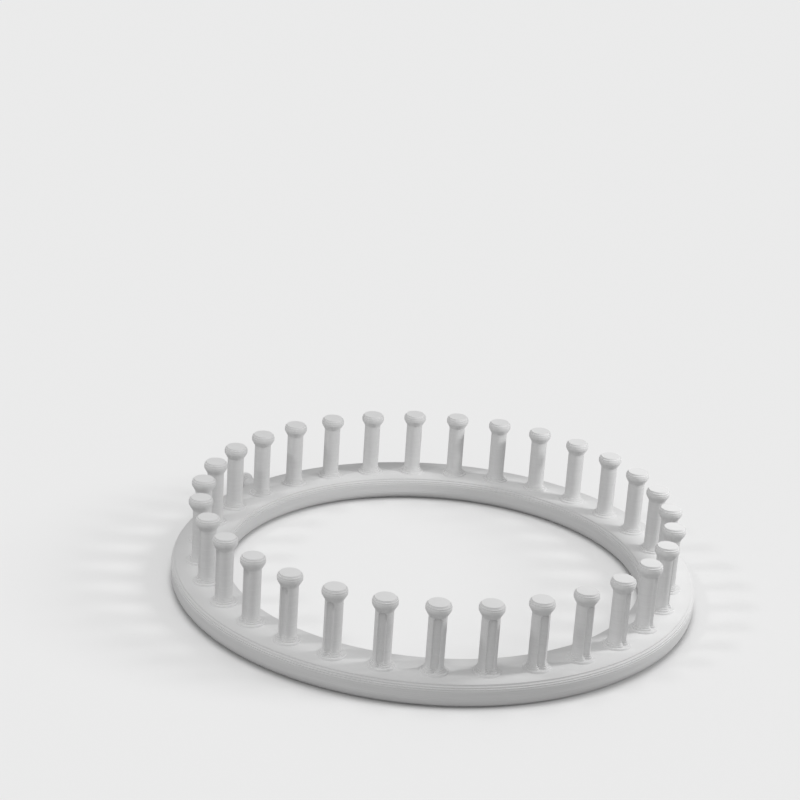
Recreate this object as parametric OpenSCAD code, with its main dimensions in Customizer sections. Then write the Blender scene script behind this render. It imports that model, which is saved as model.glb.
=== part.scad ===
// Round knitting loom: a flat ring that carries a circle of upright pegs and one anchor peg.
// Millimetres, +Z up. The origin is on the ring's axis, on the plane that it stands on.
// The anchor peg points along +Y, midway between two pegs.

/* [Ring] */
// Diameter of the circle that the pegs stand on
peg_circle_d = 170; // [130:1:290]
// Width of the ring from its bore to its outer wall
ring_w = 20; // [17:0.5:30]
// Height of the ring
ring_h = 8.2; // [8:0.1:14]
// Radius that rounds the two top edges of the ring
ring_top_round = 2.6; // [1:0.1:3]
// Radius that rounds the two bottom edges of the ring
ring_base_round = 2.8; // [1:0.1:3]

/* [Pegs] */
// Number of pegs round the ring
peg_count = 31; // [24:1:35]
// Height of a peg above the ring
peg_h = 24.6; // [18:0.2:40]
// Diameter of a peg's shaft
shaft_d = 6.15; // [5.4:0.05:6.6]
// Radius of the hollow curve at a peg's foot, which meets the ring on a tangent
flare_round = 3; // [1.5:0.1:3.2]
// Thickness at which the flare stops, so that its rim isn't a feather edge
flare_rim = 0.2; // [0.1:0.05:0.5]

/* [Heads] */
// Diameter of a peg's head
head_d = 8.7; // [7.8:0.1:9.4]
// Radius that rounds the top edge of a head
head_top_round = 1.7; // [0.5:0.1:2]
// Height of the upright band between the head's two roundings
head_band = 0.2; // [0.2:0.1:2]
// Radius that rounds the edge between the band and the cone
head_low_round = 1.2; // [0.5:0.1:1.5]
// Slope of the cone under the head, from the horizontal
head_slope = 60; // [45:1:65]

/* [Groove] */
// Width of the hook groove across its lips
groove_w = 2.7; // [2:0.1:2.9]
// Depth of the hook groove from the shaft's surface
groove_depth = 1.5; // [1.2:0.05:1.7]
// How much the notch in the flare is narrower than the groove, on each side
notch_inset = 0.05; // [0.03:0.01:0.15]

/* [Seats] */
// Diameter of the spigot under a peg
spigot_d = 4.8; // [4:0.1:5.2]
// Length of the spigot under a peg
spigot_l = 5.4; // [3:0.1:5.8]
// Depth of the key flat on the spigot, which turns the groove outwards
key_depth = 0.7; // [0.4:0.1:1]
// Gap between a spigot and its socket, on each side
seat_gap = 0.05; // [0.02:0.01:0.1]
// Space left under the end of a spigot
end_space = 0.3; // [0.1:0.1:0.6]

/* [Anchor peg] */
// Diameter of the anchor peg's head: the peg is a smaller copy of the others, without a groove
anchor_head_d = 7.6; // [7:0.1:7.8]
// Length that the anchor peg stands out from the ring's wall
anchor_reach = 10.4; // [9:0.1:16]
// Depth of the flat-bottomed recess that the anchor peg's shoulder sits in
anchor_recess = 0.8; // [0.7:0.1:2]
// Diameter of the anchor peg's spigot
anchor_spigot_d = 3.6; // [3:0.1:4]
// Length of the anchor peg's spigot
anchor_spigot_l = 8; // [5:0.5:9]

/* [Hidden] */
$fn = 96;
plastic = [0.82, 0.82, 0.82];

function peg_name(i) = str("peg_", i < 10 ? "0" : "", i);

peg_circle_r = peg_circle_d / 2;
ring_outer_r = peg_circle_r + ring_w / 2;
shaft_r = shaft_d / 2;
head_r = head_d / 2;
spigot_r = spigot_d / 2;

// The pegs are counted clockwise from the anchor peg, seen from above.
anchor_angle = 90;
peg_step = 360 / peg_count;
function peg_angle(i) = anchor_angle - (i - 0.5) * peg_step;

// The groove is round: its circle passes through both lips and the deepest point.
lip_x = sqrt(shaft_r ^ 2 - (groove_w / 2) ^ 2);
groove_sag = lip_x - (shaft_r - groove_depth);
groove_r = ((groove_w / 2) ^ 2 + groove_sag ^ 2) / (2 * groove_sag);
groove_x = shaft_r - groove_depth + groove_r;

// Spread of the flare beyond the wall that it runs along, at the top of its rim.
flare_spread = flare_round - sqrt(flare_round ^ 2 - (flare_round - flare_rim) ^ 2);

// The head's cone leaves the lower rounding on a tangent and runs on inside the shaft.
head_low_z = peg_h - head_top_round - head_band;
tangent_r = head_r - head_low_round + head_low_round * sin(head_slope);
tangent_z = head_low_z - head_low_round * cos(head_slope);
cone_root_r = shaft_r - groove_depth;
cone_root_z = tangent_z - (tangent_r - cone_root_r) * tan(head_slope);

anchor_scale = anchor_head_d / head_d;
anchor_shaft_r = shaft_r * anchor_scale;
anchor_z = ring_h / 2;
anchor_seat_r = ring_outer_r - anchor_recess;
anchor_h = anchor_reach + anchor_recess;

// Reach of a cutter past the face that it opens.
past = 1;

module ring_section() {
    polygon([
        [-ring_w / 2 + ring_base_round, 0],
        [ring_w / 2 - ring_base_round, 0],
        [ring_w / 2, ring_base_round],
        [ring_w / 2, ring_h - ring_top_round],
        [ring_w / 2 - ring_top_round, ring_h],
        [-ring_w / 2 + ring_top_round, ring_h],
        [-ring_w / 2, ring_h - ring_top_round],
        [-ring_w / 2, ring_base_round],
    ]);
    for (side = [-1, 1]) {
        translate([side * (ring_w / 2 - ring_base_round), ring_base_round])
            circle(ring_base_round);
        translate([side * (ring_w / 2 - ring_top_round), ring_h - ring_top_round])
            circle(ring_top_round);
    }
}

// Round spigot with a flat on the side that faces outwards, from z = 0 upwards.
module keyed_spigot(r, flat_x, length) {
    linear_extrude(length)
        intersection() {
            circle(r);
            translate([flat_x - 2 * r, -r]) square([2 * r, 2 * r]);
        }
}

module ring() {
    socket_depth = spigot_l + end_space;
    anchor_socket_l = anchor_spigot_l + end_space;
    color(plastic)
        difference() {
            rotate_extrude() translate([peg_circle_r, 0]) ring_section();
            for (i = [1 : peg_count])
                rotate(peg_angle(i))
                    translate([peg_circle_r, 0, ring_h - socket_depth])
                        keyed_spigot(spigot_r + seat_gap, spigot_r - key_depth + seat_gap, socket_depth + past);
            rotate(anchor_angle) translate([anchor_seat_r, 0, anchor_z]) rotate([0, 90, 0]) {
                cylinder(r = anchor_shaft_r + seat_gap, h = anchor_recess + past);
                translate([0, 0, -anchor_socket_l])
                    cylinder(r = anchor_spigot_d / 2 + seat_gap, h = anchor_socket_l + past);
            }
        }
}

// Half section of a peg's head, down to where its cone runs out inside the shaft.
module head_section() {
    polygon([
        [0, cone_root_z],
        [cone_root_r, cone_root_z],
        [tangent_r, tangent_z],
        [head_r, head_low_z],
        [head_r, peg_h - head_top_round],
        [head_r - head_top_round, peg_h],
        [0, peg_h],
    ]);
    translate([head_r - head_top_round, peg_h - head_top_round]) circle(head_top_round);
    translate([head_r - head_low_round, head_low_z]) circle(head_low_round);
}

// Half section of the hollow curve that spreads from a wall at the given radius onto the ring.
module flare_section(wall_r) {
    difference() {
        square([wall_r + flare_spread, flare_round]);
        translate([wall_r + flare_round, flare_round]) circle(flare_round);
    }
}

// Half section of the hook groove. Its floor closes in as the flare spreads along its wall.
module groove_section(inset) {
    wall_r = groove_r - inset;
    translate([0, flare_round]) square([wall_r, tangent_z - flare_round]);
    intersection() {
        translate([wall_r - flare_round, flare_round]) circle(flare_round);
        square([wall_r, flare_round]);
    }
    if (wall_r > flare_spread) square([wall_r - flare_spread, flare_round]);
}

// The groove's round part, and the notch by which it leaves through the front of the flare.
module groove() {
    rotate_extrude() groove_section(0);
    rotate([90, 0, 90])
        linear_extrude(flare_spread + past)
            intersection() {
                for (side = [0, 1]) mirror([side, 0]) groove_section(notch_inset);
                translate([-groove_r, 0]) square([2 * groove_r, flare_round]);
            }
}

module grooved_shaft() {
    difference() {
        rotate_extrude() {
            square([shaft_r, tangent_z]);
            flare_section(shaft_r);
        }
        translate([groove_x, 0]) groove();
    }
}

// Peg number i, with its groove facing away from the ring's axis.
module peg(i) {
    color(plastic)
        rotate(peg_angle(i)) translate([peg_circle_r, 0, ring_h]) {
            grooved_shaft();
            rotate_extrude() head_section();
            translate([0, 0, -spigot_l])
                keyed_spigot(spigot_r, spigot_r - key_depth, spigot_l + flare_rim);
        }
}

// The anchor peg lies flat, with its shoulder in the ring's outer wall.
module anchor_peg() {
    color(plastic)
        rotate(anchor_angle) translate([anchor_seat_r, 0, anchor_z]) rotate([0, 90, 0]) {
            rotate_extrude() {
                translate([0, anchor_h - peg_h * anchor_scale]) scale(anchor_scale) head_section();
                square([anchor_shaft_r, anchor_h - (peg_h - tangent_z) * anchor_scale]);
            }
            translate([0, 0, -anchor_spigot_l])
                cylinder(d = anchor_spigot_d, h = anchor_spigot_l + past);
        }
}

ring();
anchor_peg();
for (i = [1 : peg_count])
    peg(i);
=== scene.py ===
"""Looks of the round knitting loom: pale printed plastic, built up in thin layers, on a pale floor.

The loom's lengths are millimetres, as in the part's source, and its meshes are made in metres.
The floor and the lamps are given in metres.
"""

from math import atan2, cos, pi, radians, sin, sqrt, tan

import bmesh
import bpy
from mathutils import Matrix, Vector


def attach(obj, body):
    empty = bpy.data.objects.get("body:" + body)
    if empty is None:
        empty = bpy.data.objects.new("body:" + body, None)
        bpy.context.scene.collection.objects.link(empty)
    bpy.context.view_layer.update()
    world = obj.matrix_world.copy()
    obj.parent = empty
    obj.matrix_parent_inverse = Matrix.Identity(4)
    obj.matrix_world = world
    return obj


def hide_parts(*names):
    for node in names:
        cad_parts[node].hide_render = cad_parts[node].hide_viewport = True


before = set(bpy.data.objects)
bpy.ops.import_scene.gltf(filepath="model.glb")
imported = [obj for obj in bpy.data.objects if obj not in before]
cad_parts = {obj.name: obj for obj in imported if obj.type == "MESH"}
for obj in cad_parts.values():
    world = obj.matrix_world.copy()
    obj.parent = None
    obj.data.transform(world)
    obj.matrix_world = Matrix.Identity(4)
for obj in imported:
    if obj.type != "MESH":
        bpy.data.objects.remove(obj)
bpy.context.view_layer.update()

MM = 0.001

# Ring
PEG_CIRCLE_R = 85.0
RING_W = 20.0
RING_H = 8.2
RING_TOP_ROUND = 2.6
RING_BASE_ROUND = 3.4
RING_OUTER_R = PEG_CIRCLE_R + RING_W / 2

# Pegs
PEG_COUNT = 31
PEG_H = 24.6
SHAFT_D = 6.15
FLARE_ROUND = 3.0
HEAD_D = 8.7
HEAD_TOP_ROUND = 1.7
HEAD_BAND = 0.2
HEAD_LOW_ROUND = 1.2
HEAD_SLOPE = radians(60)
GROOVE_W = 2.7
GROOVE_DEPTH = 1.5
LIP_ROUND = 0.2
# How far the groove's arch runs on under the head's cone
GROOVE_RUN = 0.1
# Half width at which the groove counts as closed
CLOSED_GAP = 0.05
# How far a peg is let into the ring, so that no light shows under it
SUNK = 0.05

# Anchor peg
ANCHOR_HEAD_D = 7.6
ANCHOR_REACH = 10.4
ANCHOR_RECESS = 0.8
ANCHOR_ANGLE = radians(90)
ANCHOR_Z = RING_H / 2

# Printed layers. A step of 1 gives each layer an upright wall, and of 0 leaves the wall without steps.
RING_LAYERS = 13
LAYER = RING_H / RING_LAYERS
RING_STEP = 1.0
FOOT_STEP = 0.85
HEAD_STEP = 0.8
# How far a layer draws in at its two edges, and over what height
BEAD = 0.02
BEAD_SOFT = 0.1
# Points nearer to each other than this are one point.
SAME_POINT = 0.0001

# Edges that turn by more than this are crisp, apart from those of the ring's top layer.
SHARP_ANGLE = radians(40)
RING_SOFT_Z = RING_H - 1.5 * LAYER
NEVER_SOFT_Z = 2 * PEG_H

# Points along the parts of an outline
RING_POINTS = PEG_COUNT * 12
SHAFT_POINTS = 42
LIP_POINTS = 5
GROOVE_POINTS = 14

# Derived from the values above, as in the source
PEG_STEP = 2 * pi / PEG_COUNT
SHAFT_R = SHAFT_D / 2
HEAD_R = HEAD_D / 2
LIP_X = sqrt(SHAFT_R ** 2 - (GROOVE_W / 2) ** 2)
FRONT_ANGLE = atan2(GROOVE_W / 2, LIP_X)
GROOVE_SAG = LIP_X - (SHAFT_R - GROOVE_DEPTH)
GROOVE_R = ((GROOVE_W / 2) ** 2 + GROOVE_SAG ** 2) / (2 * GROOVE_SAG)
GROOVE_X = SHAFT_R - GROOVE_DEPTH + GROOVE_R
HEAD_LOW_Z = PEG_H - HEAD_TOP_ROUND - HEAD_BAND
TANGENT_R = HEAD_R - HEAD_LOW_ROUND + HEAD_LOW_ROUND * sin(HEAD_SLOPE)
TANGENT_Z = HEAD_LOW_Z - HEAD_LOW_ROUND * cos(HEAD_SLOPE)
GROOVE_TOP_Z = TANGENT_Z - (TANGENT_R - SHAFT_R) * tan(HEAD_SLOPE) + GROOVE_RUN
ANCHOR_SCALE = ANCHOR_HEAD_D / HEAD_D
ANCHOR_H = ANCHOR_REACH + ANCHOR_RECESS

# Plastic: its tone, and how much tone and roughness change from layer to layer
PALE_GREY = 0.70
RING_ROUGHNESS = 0.75
PEG_ROUGHNESS = 0.72
ROUGHNESS_CHANGE = 0.06
DARK_LAYER = 0.97
LIGHT_LAYER = 1.02
PLASTIC_IOR = 1.46
# Scales of the streaks along a layer, from layer to layer, and of the grain, per metre
STREAK_SCALE = 60
LAYER_SCALE = 0.8 / (LAYER * MM)
GRAIN_SCALE = 5000
GRAIN_STRENGTH = 0.12
GRAIN_DEPTH = 0.02
# Part of the noise's range that is spread over a ramp
RAMP_START = 0.3
RAMP_END = 0.7

# Floor: pale to the camera, and darker to the light that it throws back up at the loom
FLOOR_SEEN = 0.83
FLOOR_BOUNCE = 0.32
FLOOR_HALF = 6.0

# The photograph's view, found from the heads' places in it. Distances are in radii of the peg circle.
VIEW_TURN = radians(-46.98)
VIEW_DOWN = 0.35078
VIEW_ROLL = 0.06611
VIEW_DISTANCE = 8.17779
VIEW_ASIDE = 0.13661
VIEW_UP = 0.77516
IMAGE_WIDTH = 800
FOCAL_PIXELS = 1896.40
SENSOR_WIDTH = 36

# Light
WORLD_LIGHT = 0.48
NEAR_LAMP_SIZE = 0.05
LAMP_AIM = 0.02

# Each lamp lights only one of these groups.
loom_group = bpy.data.collections.new("loom")
floor_group = bpy.data.collections.new("floor")


def spread(first, last, count):
    """Evenly spaced numbers from first up to, but not including, last."""
    return [first + (last - first) * k / count for k in range(count)]


def arc(x, y, r, angles):
    return [(x + r * cos(a), y + r * sin(a)) for a in angles]


def add_object(name, data):
    thing = bpy.data.objects.new(name, data)
    bpy.context.scene.collection.objects.link(thing)
    return thing


def wall_faces(row_count, count, capped):
    """Quads between each row of points and the next. Without caps the last row joins the first."""
    faces = []
    for j in range(row_count - 1 if capped else row_count):
        low, high = j * count, (j + 1) % row_count * count
        for k in range(count):
            n = (k + 1) % count
            faces.append((low + k, low + n, high + n, high + k))
    return faces


def cap_faces(first, count, centre, upward):
    """Triangles that close a row of points round a centre."""
    faces = []
    for k in range(count):
        n = (k + 1) % count
        start, end = (k, n) if upward else (n, k)
        faces.append((first + start, first + end, centre))
    return faces


def join_same_points(mesh):
    """Let layers of the same outline share their edge, so that no face without area lies between them."""
    shape = bmesh.new()
    shape.from_mesh(mesh)
    bmesh.ops.remove_doubles(shape, verts=shape.verts, dist=SAME_POINT * MM)
    shape.to_mesh(mesh)
    shape.free()


def skin(name, rows, capped, soft_z, material):
    """A closed mesh over rows of points, one row a loop. Edges at or above the height soft_z aren't crisp."""
    count = len(rows[0])
    points = [p for row in rows for p in row]
    faces = wall_faces(len(rows), count, capped)
    if capped:
        for row, upward in ((0, False), (len(rows) - 1, True)):
            faces += cap_faces(row * count, count, len(points), upward)
            points.append((0, 0, rows[row][0][2]))
    mesh = bpy.data.meshes.new(name)
    mesh.from_pydata([(x * MM, y * MM, z * MM) for x, y, z in points], [], faces)
    join_same_points(mesh)
    mesh.polygons.foreach_set("use_smooth", [True] * len(mesh.polygons))
    mesh.set_sharp_from_angle(angle=SHARP_ANGLE)
    for edge in mesh.edges:
        if all(mesh.vertices[v].co.z >= soft_z * MM for v in edge.vertices):
            edge.use_edge_sharp = False
    mesh.materials.append(material)
    return mesh


def place_piece(name, mesh, node, place):
    """A piece of the loom that stands for a CAD node."""
    piece = add_object(name, mesh)
    loom_group.objects.link(piece)
    piece.matrix_world = place
    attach(piece, "root")
    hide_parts(node)


def layer_steps(height, step_at):
    """For each row up a stack of layers: its height, the height whose shape it takes, and its growth."""
    count = round(height / LAYER)
    thick = height / count
    for k in range(count):
        low, middle, high = k * thick, (k + 0.5) * thick, (k + 1) * thick
        for z, grow in ((low, -BEAD), (low + BEAD_SOFT, 0), (high - BEAD_SOFT, 0), (high, -BEAD)):
            yield z, z + (middle - z) * step_at(middle), grow


def layered_rows(outline_at, height, step_at):
    steps = layer_steps(height, step_at)
    return [[(x, y, z) for x, y in outline_at(h, grow)] for z, h, grow in steps]


# Ring
def ring_half_width(z):
    """Half of the ring's width at a height above the floor."""
    drop = RING_BASE_ROUND - z
    if drop > 0:
        return RING_W / 2 - RING_BASE_ROUND + sqrt(RING_BASE_ROUND ** 2 - drop ** 2)
    rise = max(0, z - (RING_H - RING_TOP_ROUND))
    return RING_W / 2 - RING_TOP_ROUND + sqrt(RING_TOP_ROUND ** 2 - rise ** 2)


def ring_step(z):
    return RING_STEP


def ring_rows():
    """Loops round the ring, up its outer wall and down its inner wall."""
    turns = spread(0, 2 * pi, RING_POINTS)
    profile = [(ring_half_width(h) + grow, z) for z, h, grow in layer_steps(RING_H, ring_step)]
    profile += [(-half, z) for half, z in reversed(profile)]
    return [[(*p, z) for p in arc(0, 0, PEG_CIRCLE_R + half, turns)] for half, z in profile]


# Pegs. Their heights are counted from the ring's top.
def flare_spread(h):
    """How far the foot spreads beyond the shaft's wall."""
    if h >= FLARE_ROUND:
        return 0
    return FLARE_ROUND - sqrt(FLARE_ROUND ** 2 - (FLARE_ROUND - h) ** 2)


def head_radius(h):
    """Radius of the head, or of the cone under it."""
    rise = h - (PEG_H - HEAD_TOP_ROUND)
    if rise > 0:
        return HEAD_R - HEAD_TOP_ROUND + sqrt(HEAD_TOP_ROUND ** 2 - rise ** 2)
    if h > TANGENT_Z:
        drop = max(0, HEAD_LOW_Z - h)
        return HEAD_R - HEAD_LOW_ROUND + sqrt(HEAD_LOW_ROUND ** 2 - drop ** 2)
    return TANGENT_R - (TANGENT_Z - h) / tan(HEAD_SLOPE)


def groove_radius(h):
    """Radius of the groove, which narrows in an arch at its top end."""
    rise = max(0, h - (GROOVE_TOP_Z - GROOVE_R))
    return sqrt(max(0, GROOVE_R ** 2 - rise ** 2))


def round_outline(r):
    """A circle with its points where the outline of a shaft has them."""
    front = 2 * LIP_POINTS + GROOVE_POINTS
    back_turns = spread(FRONT_ANGLE, 2 * pi - FRONT_ANGLE, SHAFT_POINTS)
    return arc(0, 0, r, back_turns + spread(-FRONT_ANGLE, FRONT_ANGLE, front))


def shaft_outline(grow, groove_r):
    """Outline of the shaft and its groove. All walls move outwards by grow, which closes the groove.

    The lips are rounded: their circles are centred where the two walls meet when both are set back.
    """
    inner_shaft_r, inner_groove_r = SHAFT_R - LIP_ROUND, groove_r + LIP_ROUND
    lip_x = (inner_shaft_r ** 2 - inner_groove_r ** 2 + GROOVE_X ** 2) / (2 * GROOVE_X)
    lip_y = sqrt(max(0, inner_shaft_r ** 2 - lip_x ** 2))
    reach = LIP_ROUND + grow
    if reach > lip_y - CLOSED_GAP:
        return round_outline(inner_shaft_r + reach)
    lip_angle = atan2(lip_y, lip_x)
    turn = atan2(lip_y, GROOVE_X - lip_x)
    back = pi - turn
    return (
        arc(0, 0, inner_shaft_r + reach, spread(lip_angle, 2 * pi - lip_angle, SHAFT_POINTS))
        + arc(lip_x, -lip_y, reach, spread(-lip_angle, turn, LIP_POINTS))
        + arc(GROOVE_X, 0, inner_groove_r - reach, spread(2 * pi - back, back, GROOVE_POINTS))
        + arc(lip_x, lip_y, reach, spread(-turn, lip_angle, LIP_POINTS))
    )


def peg_outline(h, grow):
    r = head_radius(h)
    if r > SHAFT_R:
        return round_outline(r + grow)
    return shaft_outline(flare_spread(h) + grow, groove_radius(h))


def peg_step(h):
    return FOOT_STEP if h < PEG_H / 2 else HEAD_STEP


def peg_rows():
    rows = layered_rows(peg_outline, PEG_H, peg_step)
    return [[(x, y, z - SUNK) for x, y, z in rows[0]]] + rows[1:]


def peg_place(i):
    angle = ANCHOR_ANGLE - (i - 0.5) * PEG_STEP
    stand = Matrix.Translation(Vector((PEG_CIRCLE_R, 0, RING_H)) * MM)
    return Matrix.Rotation(angle, 4, "Z") @ stand


# Anchor peg: a smaller head on a plain round shaft, lying on its side
def anchor_outline(h, grow):
    below_top = (ANCHOR_H - h) / ANCHOR_SCALE
    r = max(SHAFT_R, head_radius(PEG_H - below_top)) * ANCHOR_SCALE
    return arc(0, 0, r + grow, spread(0, 2 * pi, SHAFT_POINTS))


def anchor_step(h):
    return HEAD_STEP


def anchor_place():
    foot = Matrix.Translation(Vector((0, RING_OUTER_R - ANCHOR_RECESS, ANCHOR_Z)) * MM)
    return foot @ Matrix.Rotation(radians(-90), 4, "X")


# Materials
def noise(tree, place, scale, detail):
    mapping = tree.nodes.new("ShaderNodeMapping")
    mapping.inputs["Scale"].default_value = scale
    tree.links.new(place.outputs["Object"], mapping.inputs["Vector"])
    texture = tree.nodes.new("ShaderNodeTexNoise")
    texture.inputs["Scale"].default_value = 1
    texture.inputs["Detail"].default_value = detail
    tree.links.new(mapping.outputs["Vector"], texture.inputs["Vector"])
    return texture.outputs["Fac"]


def ramp(tree, value, low, high):
    """Greys from low to high along a noise's value."""
    blend = tree.nodes.new("ShaderNodeValToRGB")
    start, end = blend.color_ramp.elements
    start.position, end.position = RAMP_START, RAMP_END
    start.color = (low, low, low, 1)
    end.color = (high, high, high, 1)
    tree.links.new(value, blend.inputs["Fac"])
    return blend.outputs["Color"]


def plastic(name, roughness):
    """Printed plastic: a soft sheen that changes a little from layer to layer, and a fine grain."""
    material = bpy.data.materials.new(name)
    material.use_nodes = True
    tree = material.node_tree
    shader = tree.nodes["Principled BSDF"]
    shader.inputs["IOR"].default_value = PLASTIC_IOR
    place = tree.nodes.new("ShaderNodeTexCoord")
    layers = noise(tree, place, (STREAK_SCALE, STREAK_SCALE, LAYER_SCALE), detail=1)
    tone = ramp(tree, layers, PALE_GREY * DARK_LAYER, PALE_GREY * LIGHT_LAYER)
    tree.links.new(tone, shader.inputs["Base Color"])
    sheen = ramp(tree, layers, roughness - ROUGHNESS_CHANGE, roughness + ROUGHNESS_CHANGE)
    tree.links.new(sheen, shader.inputs["Roughness"])
    bump = tree.nodes.new("ShaderNodeBump")
    bump.inputs["Strength"].default_value = GRAIN_STRENGTH
    bump.inputs["Distance"].default_value = GRAIN_DEPTH * MM
    grain = noise(tree, place, (GRAIN_SCALE, GRAIN_SCALE, GRAIN_SCALE), detail=2)
    tree.links.new(grain, bump.inputs["Height"])
    tree.links.new(bump.outputs["Normal"], shader.inputs["Normal"])
    return material


def seen_directly(tree):
    """1 for what is seen, also in gloss and through glass, and 0 for light that only falls on things."""
    path = tree.nodes.new("ShaderNodeLightPath")
    seen = path.outputs["Is Camera Ray"]
    for way in ("Is Glossy Ray", "Is Transmission Ray"):
        either = tree.nodes.new("ShaderNodeMath")
        either.operation = "MAXIMUM"
        tree.links.new(seen, either.inputs[0])
        tree.links.new(path.outputs[way], either.inputs[1])
        seen = either.outputs["Value"]
    return seen


def mix_by_sight(tree, unseen, seen, target):
    """Give the target one shader where it is seen, and another for the light that it sends out."""
    mix = tree.nodes.new("ShaderNodeMixShader")
    tree.links.new(seen_directly(tree), mix.inputs[0])
    tree.links.new(unseen, mix.inputs[1])
    tree.links.new(seen, mix.inputs[2])
    tree.links.new(mix.outputs["Shader"], target)


def floor_shade(tree, tone):
    shade = tree.nodes.new("ShaderNodeBsdfDiffuse")
    shade.inputs["Color"].default_value = (tone, tone, tone, 1)
    return shade.outputs["BSDF"]


def world_shade(tree, strength):
    shade = tree.nodes.new("ShaderNodeBackground")
    shade.inputs["Color"].default_value = (1, 1, 1, 1)
    shade.inputs["Strength"].default_value = strength
    return shade.outputs["Background"]


# The loom
ring_plastic = plastic("ring_plastic", RING_ROUGHNESS)
peg_plastic = plastic("peg_plastic", PEG_ROUGHNESS)

ring_mesh = skin("ring_looks", ring_rows(), False, RING_SOFT_Z, ring_plastic)
place_piece("ring_looks", ring_mesh, "ring", Matrix.Identity(4))

peg_mesh = skin("peg_looks", peg_rows(), True, NEVER_SOFT_Z, peg_plastic)
for i in range(1, PEG_COUNT + 1):
    place_piece(f"peg_{i:02d}_looks", peg_mesh, f"peg_{i:02d}", peg_place(i))

anchor_rows = layered_rows(anchor_outline, ANCHOR_H, anchor_step)
anchor_mesh = skin("anchor_peg_looks", anchor_rows, True, NEVER_SOFT_Z, peg_plastic)
place_piece("anchor_peg_looks", anchor_mesh, "anchor_peg", anchor_place())

# Floor
floor_mesh = bpy.data.meshes.new("floor")
corners = ((-1, -1), (1, -1), (1, 1), (-1, 1))
floor_mesh.from_pydata([(x * FLOOR_HALF, y * FLOOR_HALF, 0) for x, y in corners], [], [(0, 1, 2, 3)])
floor = add_object("floor", floor_mesh)
floor_group.objects.link(floor)
floor_material = bpy.data.materials.new("floor")
floor_material.use_nodes = True
floor_tree = floor_material.node_tree
floor_tree.nodes.remove(floor_tree.nodes["Principled BSDF"])
floor_surface = floor_tree.nodes["Material Output"].inputs["Surface"]
floor_bounce = floor_shade(floor_tree, FLOOR_BOUNCE)
floor_seen = floor_shade(floor_tree, FLOOR_SEEN)
mix_by_sight(floor_tree, floor_bounce, floor_seen, floor_surface)
floor_mesh.materials.append(floor_material)

# Camera
camera = add_object("camera", bpy.data.cameras.new("camera"))
bpy.context.scene.camera = camera
camera.data.sensor_width = SENSOR_WIDTH
camera.data.lens = FOCAL_PIXELS / IMAGE_WIDTH * SENSOR_WIDTH
level = Vector((1, 0, 0))
rise = Vector((0, sin(VIEW_DOWN), cos(VIEW_DOWN)))
back = Vector((0, -cos(VIEW_DOWN), sin(VIEW_DOWN)))
right = cos(VIEW_ROLL) * level + sin(VIEW_ROLL) * rise
up = cos(VIEW_ROLL) * rise - sin(VIEW_ROLL) * level
view = Matrix((right, up, back)).transposed().to_4x4()
view.translation = (VIEW_UP * up - VIEW_ASIDE * right + VIEW_DISTANCE * back) * PEG_CIRCLE_R * MM
turned = Matrix.Rotation(VIEW_TURN, 4, "Z")
camera.matrix_world = turned @ view


# Lamps. Azimuth is seen from the camera: 0 to the right, 90 behind the loom, 180 to the left, 270 in front.
def lamp_direction(azimuth, elevation):
    """Direction from the loom towards a lamp."""
    a, e = radians(azimuth), radians(elevation)
    return turned.to_3x3() @ Vector((cos(a) * cos(e), sin(a) * cos(e), sin(e)))


def add_lamp(name, kind, towards, group):
    lamp = add_object(name, bpy.data.lights.new(name, kind))
    lamp.rotation_mode = "QUATERNION"
    lamp.rotation_quaternion = towards.to_track_quat("Z", "Y")
    lamp.light_linking.receiver_collection = group
    return lamp


def near_lamp(name, azimuth, elevation, distance, strength):
    """A round lamp near the loom. Its strength is the light that it gives at the loom's middle."""
    towards = lamp_direction(azimuth, elevation)
    lamp = add_lamp(name, "AREA", towards, loom_group)
    lamp.data.shape = "DISK"
    lamp.data.size = NEAR_LAMP_SIZE
    lamp.data.energy = strength * pi * distance ** 2
    lamp.location = towards * distance + Vector((0, 0, LAMP_AIM))


def far_lamp(name, azimuth, elevation, width, strength, group):
    """A lamp far away, whose width is the angle that it fills as seen from the loom."""
    lamp = add_lamp(name, "SUN", lamp_direction(azimuth, elevation), group)
    lamp.data.energy = strength
    lamp.data.angle = radians(width)


near_lamp("right", azimuth=4, elevation=33, distance=0.32, strength=1.46)
near_lamp("left", azimuth=205, elevation=47, distance=0.40, strength=0.54)
far_lamp("front", azimuth=270, elevation=40, width=60, strength=0.44, group=loom_group)
far_lamp("floor_right", azimuth=3, elevation=31, width=19, strength=0.87, group=floor_group)
far_lamp("floor_left", azimuth=193, elevation=46, width=8, strength=0.25, group=floor_group)
far_lamp("floor_top", azimuth=90, elevation=78, width=30, strength=1.02, group=floor_group)

# The world is soft light from all round, and as pale as the floor where the camera sees it.
world = bpy.data.worlds.new("world")
bpy.context.scene.world = world
world.use_nodes = True
world_tree = world.node_tree
world_tree.nodes.remove(world_tree.nodes["Background"])
world_surface = world_tree.nodes["World Output"].inputs["Surface"]
world_light = world_shade(world_tree, WORLD_LIGHT)
world_seen = world_shade(world_tree, FLOOR_SEEN)
mix_by_sight(world_tree, world_light, world_seen, world_surface)

bpy.context.scene.view_settings.view_transform = "Standard"
